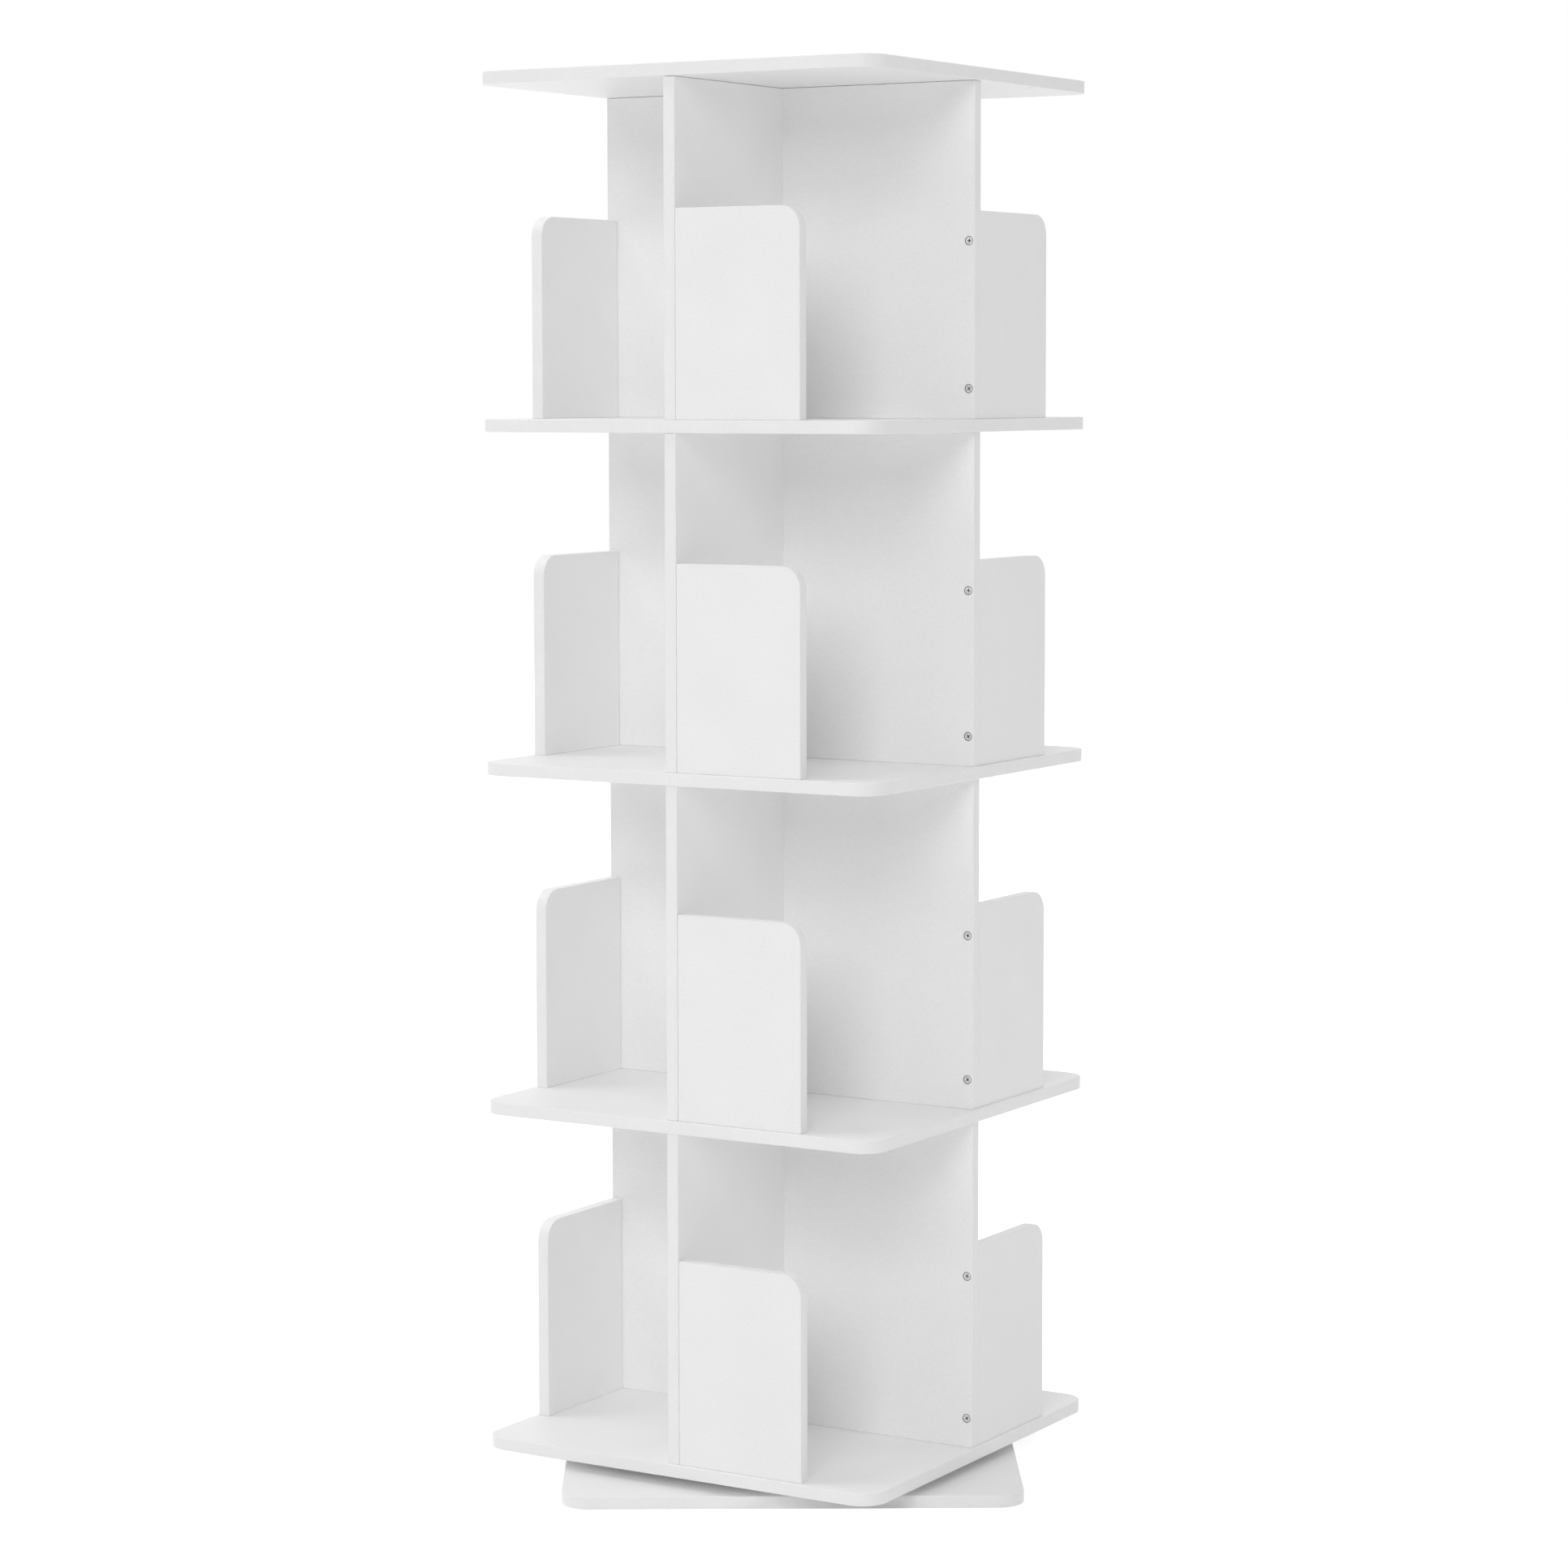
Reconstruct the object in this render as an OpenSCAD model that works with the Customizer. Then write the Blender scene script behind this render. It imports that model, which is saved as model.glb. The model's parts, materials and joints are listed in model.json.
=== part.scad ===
// Revolving bookcase: four open tiers of white laminated board that turn on a ball-bearing turntable.
// Millimetres, +Z up, origin on the floor on the axis of rotation.

/* [Boards] */
// Side of every square board, shelves and base alike
board_side = 430; // [380:5:520]
// Thickness of every board and panel
board_t = 12; // [10:0.5:18]
// Corner radius of the square boards, seen from above
board_r = 25; // [8:1:60]

/* [Tiers] */
// Clear height between two boards
tier_clear = 311; // [260:1:380]
// Setback of the panels from the edges of the boards
panel_inset = 3; // [0.5:0.5:8]
// Distance of each wing panel's middle plane from the centre line
wing_offset = 14.5; // [12:0.5:30]

/* [Book ends] */
// Reach of a book-end from the panel that carries it
bookend_w = 132; // [90:1:160]
// Height of a book-end
bookend_h = 192; // [140:1:240]
// Radius of a book-end's free top corner
bookend_r = 20; // [5:1:60]
// Distance of the book-end screws from its top and bottom edges
bookend_screw_margin = 28; // [15:1:50]
// Distance of a book-end's foot screw from its free end
bookend_foot_inset = 25; // [15:1:50]

/* [Turntable] */
// Height of the turntable, which is the gap between base board and bottom board
turntable_h = 9.5; // [8.5:0.5:14]
// Outer radius of the fixed ring
ring_outer_r = 150; // [140:1:180]
// Radial width of each ring
ring_w = 13; // [12:0.5:18]
// Radial gap between the two rings
ring_gap = 1.6; // [1.4:0.1:2.4]
// Free height under the turning ring and over the fixed ring
ring_float = 1.5; // [1:0.1:2]
// Diameter of the bearing balls
ball_d = 4.5; // [4:0.1:5]
// Number of bearing balls
ball_count = 36; // [24:1:60]
// Clearance of a ball in its groove and in its cage hole
ball_clear = 0.25; // [0.2:0.05:0.4]
// Wall of the ball cage
cage_t = 0.8; // [0.6:0.1:1]
// Width of cage left above and below a ball
cage_rim = 0.5; // [0.3:0.1:0.6]
// Screws of each ring in one quarter turn, set clear of the panels
ring_quarter_screws = 2; // [1:1:3]
// Distance of the ring screws from the ring's free edge
ring_screw_inset = 5.5; // [5:0.1:6.5]

/* [Screws and dowels] */
// Shank diameter of every screw
screw_d = 4; // [3:0.1:4.5]
// Head diameter of every screw
screw_head_d = 8; // [7:0.1:9]
// Length of the point of a wood screw
screw_point = 4; // [2:0.5:6]
// Depth of the book-end screws in the book-end
bookend_screw_bite = 26; // [15:1:50]
// Depth of the spare foot-screw hole under the top board
spare_hole_depth = 8; // [4:0.5:9]
// Depth of the wing screws in the wing
wing_screw_bite = 32; // [20:1:50]
// Distance of the outer wing screws from the top and bottom of the panel
wing_screw_margin = 45; // [40:1:90]
// Depth of the shelf screws in the panel above
shelf_screw_bite = 32; // [20:1:36]
// Place of the outer shelf screw, measured from the outer end of a half panel
shelf_screw_outer = 58; // [50:1:70]
// Place of the inner shelf screw, measured from the outer end of a half panel
shelf_screw_inner = 118; // [100:1:132]
// Depth of the turntable screws in the bottom board
ring_screw_bite = 8; // [5:0.5:8.5]
// Depth of the base screws in the fixed ring
base_screw_bite = 6; // [4:0.5:6.5]
// Diameter of a dowel
dowel_d = 6; // [5:0.5:7]
// Depth of a dowel in the board above
dowel_up = 8; // [5:0.5:8.5]
// Depth of a dowel in the panel below
dowel_down = 22; // [15:1:30]
// Chamfer at the ends of a dowel
dowel_chamfer = 1; // [0.5:0.1:1.5]
// Place of the outer dowel, measured from the outer end of a half panel
dowel_outer = 26; // [20:1:36]
// Place of the inner dowel, measured from the outer end of a half panel
dowel_inner = 148; // [142:1:160]
// Radial clearance of a fastener in its hole
hole_clear = 0.05; // [0.02:0.01:0.1]
// Free depth of a hole past the end of its fastener
hole_spare = 0.5; // [0.3:0.1:1]

/* [Pose] */
// Turn of the base under the case, as the bookcase stands
base_turn = 31.5; // [0:0.5:90]

/* [Hidden] */
$fn = 96;
tiers = 4;
cut = 1;

// Heights of the stack, from the floor up
pitch = tier_clear + board_t;
case_z = board_t + turntable_h;
function board_z(i) = case_z + i * pitch;
function floor_z(k) = board_z(k - 1) + board_t;

// Half panels, numbered as they face: front, right, back, left
sides = [0, 1, 2, 3];
spine_sides = [0, 2];
wing_sides = [1, 3];
spare_sides = [1];
panel_reach = board_side / 2 - panel_inset;
function side_x(side) = side % 2 == 0 ? 0 : -wing_offset;

// Heights of the screws above the floor of a tier
bookend_screw_heights = [bookend_screw_margin, bookend_h - bookend_screw_margin];
wing_screw_heights = [wing_screw_margin, tier_clear / 2, tier_clear - wing_screw_margin];

// Places of the shelf screws and dowels along a half panel
shelf_screw_setbacks = [shelf_screw_outer, shelf_screw_inner];
dowel_setbacks = [dowel_outer, dowel_inner];

// Height of a countersunk head, and the lengths of the screws and dowels
screw_head_h = (screw_head_d - screw_d) / 2;
bookend_screw_len = board_t + bookend_screw_bite;
wing_screw_len = board_t + wing_screw_bite;
shelf_screw_len = board_t + shelf_screw_bite;
ring_h = turntable_h - ring_float;
ring_screw_len = ring_h + ring_screw_bite;
base_screw_len = board_t + base_screw_bite;
dowel_len = dowel_up + dowel_down;

// Turntable radii and levels
fixed_inner_r = ring_outer_r - ring_w;
turning_outer_r = fixed_inner_r - ring_gap;
turning_inner_r = turning_outer_r - ring_w;
ball_pitch_r = fixed_inner_r - ring_gap / 2;
ball_z = board_t + turntable_h / 2;
groove_r = ball_d / 2 + ball_clear;
cage_h = 2 * (groove_r + cage_rim);

laminate = "whitesmoke";
zinc = "silver";
steel = "gainsboro";
nylon = "dimgray";
beech = "burlywood";

BASE_NODES = ["base_board", "base_screws", "turntable_fixed_ring"];
BALL_NODES = ["turntable_balls", "turntable_cage"];
BOARD_NODES = ["bottom_board", "lower_shelf", "middle_shelf", "upper_shelf", "top_board"];
TIER_NODES = ["spine", "right_wing", "left_wing",
              "front_bookend", "right_bookend", "back_bookend", "left_bookend",
              "bookend_screws", "wing_screws", "shelf_screws", "dowels"];
function tier_node(k, name) = str("tier", k, "_", name);

// Countersunk screw along +Z with the face of its head at zero
module screw(len, point) {
    rotate_extrude()
        polygon([[0, 0], [screw_head_d / 2, 0], [screw_d / 2, screw_head_h],
                 [screw_d / 2, len - point], [0, len]]);
}

// Hole for that screw, open past its head
module screw_hole(len) {
    head_r = screw_head_d / 2 + hole_clear;
    shank_r = screw_d / 2 + hole_clear;
    rotate_extrude()
        polygon([[0, -cut], [head_r, -cut], [head_r, 0], [shank_r, screw_head_h],
                 [shank_r, len + hole_spare], [0, len + hole_spare]]);
}

// Dowel along +Z from its lower end, with chamfered ends
module dowel() {
    tip_r = dowel_d / 2 - dowel_chamfer;
    rotate_extrude()
        polygon([[0, 0], [tip_r, 0], [dowel_d / 2, dowel_chamfer], [dowel_d / 2, dowel_len - dowel_chamfer],
                 [tip_r, dowel_len], [0, dowel_len]]);
}

// Hole for that dowel, with spare depth at both ends
module dowel_hole() {
    translate([0, 0, -hole_spare])
        cylinder(r = dowel_d / 2 + hole_clear, h = dowel_len + 2 * hole_spare);
}

// Frame of one half panel: its outer end towards -Y, its middle plane on X = 0
module on_side(side) {
    rotate([0, 0, 90 * side])
        translate([side_x(side), 0, 0])
            children();
}

// Book-end screws of some sides of a tier, driven through the panel along its +X
module at_bookend_screws(k, some = sides) {
    for (side = some, h = bookend_screw_heights)
        on_side(side)
            translate([-board_t / 2, board_t / 2 - panel_reach, floor_z(k) + h])
                rotate([0, 90, 0])
                    children();
}

// Foot screws of some book-ends of a tier, driven up through the board below near their free ends
module at_foot_screws(k, some = sides) {
    foot_x = board_t / 2 + bookend_w - bookend_foot_inset;
    for (side = some)
        on_side(side)
            translate([foot_x, board_t / 2 - panel_reach, board_z(k - 1)])
                children();
}

// Wing screws of some sides of a tier, driven through the spine into the wing's inner end
module at_wing_screws(k, some = wing_sides) {
    for (side = some, h = wing_screw_heights)
        on_side(side)
            translate([0, board_t / 2, floor_z(k) + h])
                rotate([90, 0, 0])
                    children();
}

// Shelf screws of some sides of a tier, driven up through the board below
module at_shelf_screws(k, some = sides) {
    for (side = some, setback = shelf_screw_setbacks)
        on_side(side)
            translate([0, setback - panel_reach, board_z(k - 1)])
                children();
}

// Dowels of some sides of a tier, from their lower ends in the panel
module at_dowels(k, some = sides) {
    for (side = some, setback = dowel_setbacks)
        on_side(side)
            translate([0, setback - panel_reach, board_z(k) - dowel_down])
                children();
}

// Screws around a ring at a radius, pointing up, spread over each quarter between the panels
module around_ring(r, z) {
    ring_screws = 4 * ring_quarter_screws;
    for (i = [0 : ring_screws - 1])
        rotate([0, 0, 360 * (i + 0.5) / ring_screws])
            translate([r, 0, z])
                children();
}

module at_base_screws() {
    around_ring(ring_outer_r - ring_screw_inset, 0) children();
}

module at_turntable_screws() {
    around_ring(turning_inner_r + ring_screw_inset, board_t + ring_float) children();
}

// Square board with rounded corners
module board_blank() {
    straight = board_side - 2 * board_r;
    linear_extrude(board_t)
        union() {
            square([board_side, straight], center = true);
            square([straight, board_side], center = true);
            for (x = [-1, 1], y = [-1, 1])
                translate([x * straight / 2, y * straight / 2])
                    circle(r = board_r);
        }
}

// Parts that stay with the base are drawn square and turned as one
module turned_base() {
    rotate([0, 0, base_turn])
        children();
}

module base_board() {
    color(laminate)
        turned_base()
            difference() {
                board_blank();
                at_base_screws() screw_hole(base_screw_len);
            }
}

module base_screws() {
    color(zinc)
        turned_base()
            at_base_screws() screw(base_screw_len, 0);
}

// Ring of rectangular section with the ball groove cut in one wall
module race_ring(inner_r, outer_r, z) {
    rotate_extrude()
        difference() {
            translate([inner_r, z]) square([outer_r - inner_r, ring_h]);
            translate([ball_pitch_r, ball_z]) circle(r = groove_r);
        }
}

module turntable_fixed_ring() {
    color(zinc)
        turned_base()
            difference() {
                race_ring(fixed_inner_r, ring_outer_r, board_t);
                at_base_screws() screw_hole(base_screw_len);
            }
}

module turntable_turning_ring() {
    color(zinc)
        difference() {
            race_ring(turning_inner_r, turning_outer_r, board_t + ring_float);
            at_turntable_screws() screw_hole(ring_screw_len);
        }
}

module turntable_screws() {
    color(zinc)
        at_turntable_screws() screw(ring_screw_len, screw_point);
}

// Places of the balls on their pitch circle
module at_balls() {
    for (i = [0 : ball_count - 1])
        rotate([0, 0, 360 * i / ball_count])
            translate([ball_pitch_r, 0, ball_z])
                children();
}

module turntable_balls() {
    color(steel)
        at_balls() sphere(d = ball_d);
}

module turntable_cage() {
    color(nylon)
        difference() {
            translate([0, 0, ball_z - cage_h / 2])
                difference() {
                    cylinder(r = ball_pitch_r + cage_t / 2, h = cage_h);
                    translate([0, 0, -cut])
                        cylinder(r = ball_pitch_r - cage_t / 2, h = cage_h + 2 * cut);
                }
            at_balls()
                rotate([0, 90, 0])
                    cylinder(r = groove_r, h = 2 * cut + cage_t, center = true);
        }
}

// Board number i of the case, counted from the bottom, with its holes; the top board has a spare one
module case_board(i) {
    color(laminate)
        difference() {
            translate([0, 0, board_z(i)]) board_blank();
            if (i == 0) at_turntable_screws() screw_hole(ring_screw_len);
            if (i < tiers) at_shelf_screws(i + 1) screw_hole(shelf_screw_len);
            if (i < tiers) at_foot_screws(i + 1) screw_hole(bookend_screw_len);
            if (i == tiers) at_foot_screws(i + 1, spare_sides) screw_hole(spare_hole_depth);
            if (i > 0) at_dowels(i) dowel_hole();
        }
}

// Panel that runs from the front edge to the back edge
module spine(k) {
    color(laminate)
        difference() {
            translate([-board_t / 2, -panel_reach, floor_z(k)])
                cube([board_t, 2 * panel_reach, tier_clear]);
            at_bookend_screws(k, spine_sides) screw_hole(bookend_screw_len);
            at_wing_screws(k) screw_hole(wing_screw_len);
            at_shelf_screws(k, spine_sides) screw_hole(shelf_screw_len);
            at_dowels(k, spine_sides) dowel_hole();
        }
}

// Panel from the face of the spine to one side
module wing(k, side) {
    color(laminate)
        difference() {
            on_side(side)
                translate([-board_t / 2, -panel_reach, floor_z(k)])
                    cube([board_t, panel_reach - board_t / 2, tier_clear]);
            at_bookend_screws(k, [side]) screw_hole(bookend_screw_len);
            at_wing_screws(k, [side]) screw_hole(wing_screw_len);
            at_shelf_screws(k, [side]) screw_hole(shelf_screw_len);
            at_dowels(k, [side]) dowel_hole();
        }
}

// Outline of a book-end: its free top corner is rounded
module bookend_outline() {
    square([bookend_w, bookend_h - bookend_r]);
    square([bookend_w - bookend_r, bookend_h]);
    translate([bookend_w - bookend_r, bookend_h - bookend_r])
        circle(r = bookend_r);
}

module bookend(k, side) {
    color(laminate)
        difference() {
            on_side(side)
                translate([board_t / 2, board_t - panel_reach, floor_z(k)])
                    rotate([90, 0, 0])
                        linear_extrude(board_t)
                            union() bookend_outline();
            at_bookend_screws(k, [side]) screw_hole(bookend_screw_len);
            at_foot_screws(k, [side]) screw_hole(bookend_screw_len);
        }
}

module bookend_screws(k) {
    color(zinc) {
        at_bookend_screws(k) screw(bookend_screw_len, screw_point);
        at_foot_screws(k) screw(bookend_screw_len, screw_point);
    }
}

module wing_screws(k) {
    color(zinc)
        at_wing_screws(k) screw(wing_screw_len, screw_point);
}

module shelf_screws(k) {
    color(zinc)
        at_shelf_screws(k) screw(shelf_screw_len, screw_point);
}

module dowels(k) {
    color(beech)
        at_dowels(k) dowel();
}

base_board();
base_screws();
turntable_fixed_ring();
turntable_balls();
turntable_cage();
turntable_turning_ring();
turntable_screws();
for (i = [0 : tiers])
    case_board(i);
for (k = [1 : tiers]) {
    spine(k);
    wing(k, 1);
    wing(k, 3);
    bookend(k, 0);
    bookend(k, 1);
    bookend(k, 2);
    bookend(k, 3);
    bookend_screws(k);
    wing_screws(k);
    shelf_screws(k);
    dowels(k);
}
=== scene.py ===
"""Looks of the revolving bookcase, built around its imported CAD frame.

Each class below is one sub-assembly. Its fields are sizes in millimetres, and
its methods model the pieces with bmesh operators, dress them in their finish
and hang them on the CAD body that carries them.
"""

from __future__ import annotations

import json
import logging
import math
from dataclasses import dataclass, field
from enum import Enum, IntEnum
from typing import Any, Iterator, Mapping, Sequence

import bmesh
import bpy
from bmesh.types import BMEdge, BMesh, BMFace, BMVert
from mathutils import Matrix, Vector

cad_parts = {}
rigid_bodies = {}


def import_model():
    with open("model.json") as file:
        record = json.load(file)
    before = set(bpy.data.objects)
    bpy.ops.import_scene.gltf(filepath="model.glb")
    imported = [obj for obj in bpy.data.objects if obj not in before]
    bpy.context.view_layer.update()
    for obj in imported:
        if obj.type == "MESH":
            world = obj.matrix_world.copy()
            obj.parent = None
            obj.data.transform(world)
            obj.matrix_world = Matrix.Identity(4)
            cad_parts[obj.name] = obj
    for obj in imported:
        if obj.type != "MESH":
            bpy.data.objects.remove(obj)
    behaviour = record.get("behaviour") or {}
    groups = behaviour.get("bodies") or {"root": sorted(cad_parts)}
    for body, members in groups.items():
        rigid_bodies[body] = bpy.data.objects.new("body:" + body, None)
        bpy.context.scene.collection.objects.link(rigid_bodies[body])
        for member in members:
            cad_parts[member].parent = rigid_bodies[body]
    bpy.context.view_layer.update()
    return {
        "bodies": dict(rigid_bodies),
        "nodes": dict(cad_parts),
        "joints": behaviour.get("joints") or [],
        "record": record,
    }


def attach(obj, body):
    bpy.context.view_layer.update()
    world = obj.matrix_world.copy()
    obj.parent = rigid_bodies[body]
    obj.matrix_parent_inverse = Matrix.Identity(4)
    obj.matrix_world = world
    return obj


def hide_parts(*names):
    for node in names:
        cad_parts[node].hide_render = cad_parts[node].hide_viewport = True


LOG = logging.getLogger("bookcase")
# One millimetre in metres, and one metre in millimetres
MM = 0.001
MM_PER_M = 1000.0
TO_METRES = Matrix.Scale(MM, 4)
# Side of the square photograph
PHOTO_PX = 1932
QUARTER_TURN = math.radians(90.0)
# An edge that bends more than this is a corner
SHARP_ANGLE = math.radians(35.0)
# A face is flat if its normal's share along Z is more than this
FLAT_NORMAL = 0.999
# Levels of a board that are less than this apart, in millimetres, are the same
SAME_LEVEL = 0.001
# Profile of a bevel that is a round
ROUND_PROFILE = 0.5
# A plate stood up with its length along Y and its thickness along X
UPRIGHT_ALONG_Y = Matrix(((0, 0, 1, 0), (1, 0, 0, 0), (0, 1, 0, 0), (0, 0, 0, 1)))
# A plate stood up with its length along X and its thickness along -Y
UPRIGHT_ALONG_X = Matrix(((1, 0, 0, 0), (0, 0, -1, 0), (0, 1, 0, 0), (0, 0, 0, 1)))


class Body(Enum):
    """CAD bodies that carry the pieces."""

    BASE = "base"
    CASE = "case"


class Slot(Enum):
    """Material slots of the record."""

    LAMINATE = "white_laminate"
    ZINC = "zinc_steel"


class Side(IntEnum):
    """The four half panels of a tier, by the way they face."""

    FRONT = 0
    RIGHT = 1
    BACK = 2
    LEFT = 3


class Skin(IntEnum):
    """Material slots of a laminated board."""

    FACE = 0
    BAND = 1
    # Chipboard colour, partly painted shade, for the walls of the holes
    CORE_AND_SHADE = 2


class ScrewSkin(IntEnum):
    """Material slots of a screw."""

    METAL = 0
    # Darker zinc: painted shade in the cross recess
    RECESS_SHADE = 1


class Pattern(Enum):
    """Textures that a finish may carry."""

    PEEL = "ShaderNodeTexNoise"
    CHIPS = "ShaderNodeTexVoronoi"
    LINES = "ShaderNodeTexWave"


def srgb(code: str) -> tuple[float, float, float, float]:
    """Turns an sRGB hex code into a linear colour.

    Args:
        code: Colour as "#RRGGBB".

    Returns:
        Linear red, green, blue and an alpha of one.
    """
    parts = [int(code[i : i + 2], 16) / 255.0 for i in (1, 3, 5)]
    red, green, blue = (
        c / 12.92 if c <= 0.04045 else ((c + 0.055) / 1.055) ** 2.4 for c in parts
    )
    return red, green, blue, 1.0


def add_node(
    tree: bpy.types.NodeTree,
    kind: str,
    settings: Mapping[str | int, Any] | None = None,
    links: Mapping[str | int, bpy.types.NodeSocket] | None = None,
) -> bpy.types.Node:
    """Adds a node with its settings and links.

    Args:
        tree: Node tree that takes the node.
        kind: Blender's name of the node type.
        settings: Properties, by name, and input values, by socket name or number.
        links: Sockets to link, by the name or number of the input.

    Returns:
        The new node.
    """
    node = tree.nodes.new(kind)
    for key, value in (settings or {}).items():
        if isinstance(key, str) and hasattr(node, key):
            setattr(node, key, value)
        else:
            node.inputs[key].default_value = value
    for key, socket in (links or {}).items():
        tree.links.new(socket, node.inputs[key])
    return node


@dataclass(frozen=True)
class Finish:
    """One surface finish: a material, how it was made and how it is drawn.

    Sizes are in millimetres; colour and shade are the two ends of its tone.
    """

    name: str
    colour: str
    shade: str
    pattern: Pattern
    pattern_mm: float
    relief_mm: float
    cloud_mm: float
    cloud_share: float
    roughness: tuple[float, float]
    metallic: float = 0.0
    ior: float = 1.5
    stretch: tuple[float, float, float] = (1.0, 1.0, 1.0)
    tone_range: tuple[float, float] = (0.3, 0.7)
    pattern_settings: Mapping[str, Any] = field(default_factory=dict)
    cloud_detail: float = 2.0

    def make(self) -> bpy.types.Material:
        """Builds the material from this finish.

        Returns:
            A material with tone, roughness and relief drawn by its nodes.
        """
        material = bpy.data.materials.new(self.name)
        material.use_nodes = True
        tree = material.node_tree
        place = add_node(tree, "ShaderNodeTexCoord").outputs["Object"]
        grain = self._grain(tree, place)
        tone = self._tone(tree, place, grain)
        colour = add_node(
            tree,
            "ShaderNodeMix",
            {"data_type": "RGBA", "A": srgb(self.shade), "B": srgb(self.colour)},
            {"Factor": tone},
        )
        smooth, dull = self.roughness
        rough = add_node(
            tree,
            "ShaderNodeMapRange",
            {"To Min": smooth, "To Max": dull},
            {"Value": tone},
        )
        relief = add_node(
            tree,
            "ShaderNodeBump",
            {"Strength": 1.0, "Distance": self.relief_mm * MM},
            {"Height": grain},
        )
        shader = tree.nodes["Principled BSDF"]
        shader.inputs["Metallic"].default_value = self.metallic
        shader.inputs["IOR"].default_value = self.ior
        tree.links.new(colour.outputs["Result"], shader.inputs["Base Color"])
        tree.links.new(rough.outputs["Result"], shader.inputs["Roughness"])
        tree.links.new(relief.outputs["Normal"], shader.inputs["Normal"])
        return material

    def _grain(
        self, tree: bpy.types.NodeTree, place: bpy.types.NodeSocket
    ) -> bpy.types.NodeSocket:
        """Draws the fine pattern of the surface.

        Args:
            tree: Node tree that takes the nodes.
            place: Object coordinates.

        Returns:
            The height of the pattern.
        """
        scale = [MM_PER_M / self.pattern_mm / s for s in self.stretch]
        stretched = add_node(
            tree, "ShaderNodeMapping", {"Scale": scale}, {"Vector": place}
        )
        return add_node(
            tree,
            self.pattern.value,
            {"Scale": 1.0, **self.pattern_settings},
            {"Vector": stretched.outputs["Vector"]},
        ).outputs[0]

    def _tone(
        self,
        tree: bpy.types.NodeTree,
        place: bpy.types.NodeSocket,
        grain: bpy.types.NodeSocket,
    ) -> bpy.types.NodeSocket:
        """Mixes the fine pattern with broad clouds.

        Args:
            tree: Node tree that takes the nodes.
            place: Object coordinates.
            grain: Height of the fine pattern.

        Returns:
            The tone, from zero at the shade to one at the colour.
        """
        clouds = add_node(
            tree,
            "ShaderNodeTexNoise",
            {"Scale": MM_PER_M / self.cloud_mm, "Detail": self.cloud_detail},
            {"Vector": place},
        )
        mixed = add_node(
            tree,
            "ShaderNodeMix",
            {"data_type": "FLOAT", "Factor": self.cloud_share},
            {"A": grain, "B": clouds.outputs[0]},
        )
        low, high = self.tone_range
        return add_node(
            tree,
            "ShaderNodeMapRange",
            {"From Min": low, "From Max": high},
            {"Value": mixed.outputs["Result"]},
        ).outputs["Result"]


# Melamine-faced board, pressed against a lightly pebbled plate: a soft satin white.
# The pebble of such a plate is under 1 mm; it is drawn coarser, so that it shows.
LAMINATE = Finish(
    name="melamine_pressed_white",
    colour="#FAFAFA",
    shade="#F2F2F2",
    pattern=Pattern.PEEL,
    pattern_mm=2.0,
    relief_mm=0.06,
    cloud_mm=70.0,
    cloud_share=0.3,
    roughness=(0.40, 0.50),
    ior=1.45,
    pattern_settings={"Detail": 3.0, "Roughness": 0.55},
)
# ABS edge band, trimmed and scraped: smoother and a little glossier than the faces.
EDGE_BAND = Finish(
    name="abs_edge_band_scraped",
    colour="#F7F7F7",
    shade="#F2F2F2",
    pattern=Pattern.PEEL,
    pattern_mm=3.2,
    relief_mm=0.012,
    cloud_mm=45.0,
    cloud_share=0.5,
    roughness=(0.34, 0.42),
    ior=1.45,
    pattern_settings={"Detail": 2.0},
)
# Chipboard, drilled: raw glued chips, darkened further with painted shade, so that they show as
# a dark ring round a screw head.
CHIPBOARD_AND_SHADE = Finish(
    name="chipboard_drilled_core",
    colour="#918F8C",
    shade="#6A6865",
    pattern=Pattern.CHIPS,
    pattern_mm=0.9,
    relief_mm=0.06,
    cloud_mm=6.0,
    cloud_share=0.4,
    roughness=(0.80, 0.95),
)
# Zinc-plated steel, barrel plated: bright grey with a faint cloudy bloom.
ZINC = Finish(
    name="zinc_plated_steel",
    colour="#EFF0F1",
    shade="#D6D8DA",
    pattern=Pattern.PEEL,
    pattern_mm=0.8,
    relief_mm=0.006,
    cloud_mm=3.0,
    cloud_share=0.6,
    roughness=(0.30, 0.46),
    metallic=1.0,
)
# The same plating, darkened in the cross recess with painted shade, so that the cross shows
# dark.
RECESS_SHADE = Finish(
    name="zinc_painted_recess_shade",
    colour="#6E6F71",
    shade="#444547",
    pattern=Pattern.PEEL,
    pattern_mm=0.5,
    relief_mm=0.01,
    cloud_mm=2.0,
    cloud_share=0.5,
    roughness=(0.50, 0.70),
    metallic=0.6,
)
# Galvanised steel ring, faced on a lathe: fine tool lines round the axis.
TURNED_STEEL = Finish(
    name="galvanised_steel_turned",
    colour="#B9BCBE",
    shade="#8D9194",
    pattern=Pattern.LINES,
    pattern_mm=4.0,
    relief_mm=0.02,
    cloud_mm=30.0,
    cloud_share=0.5,
    roughness=(0.30, 0.48),
    metallic=1.0,
    pattern_settings={
        "wave_type": "RINGS",
        "rings_direction": "Z",
        "Distortion": 0.6,
        "Detail": 2.0,
    },
)
# Bearing steel, lapped: near mirror with a light film of oil.
BEARING_STEEL = Finish(
    name="bearing_steel_lapped",
    colour="#D9DADB",
    shade="#C3C5C7",
    pattern=Pattern.PEEL,
    pattern_mm=1.2,
    relief_mm=0.001,
    cloud_mm=8.0,
    cloud_share=0.6,
    roughness=(0.08, 0.16),
    metallic=1.0,
)
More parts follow.
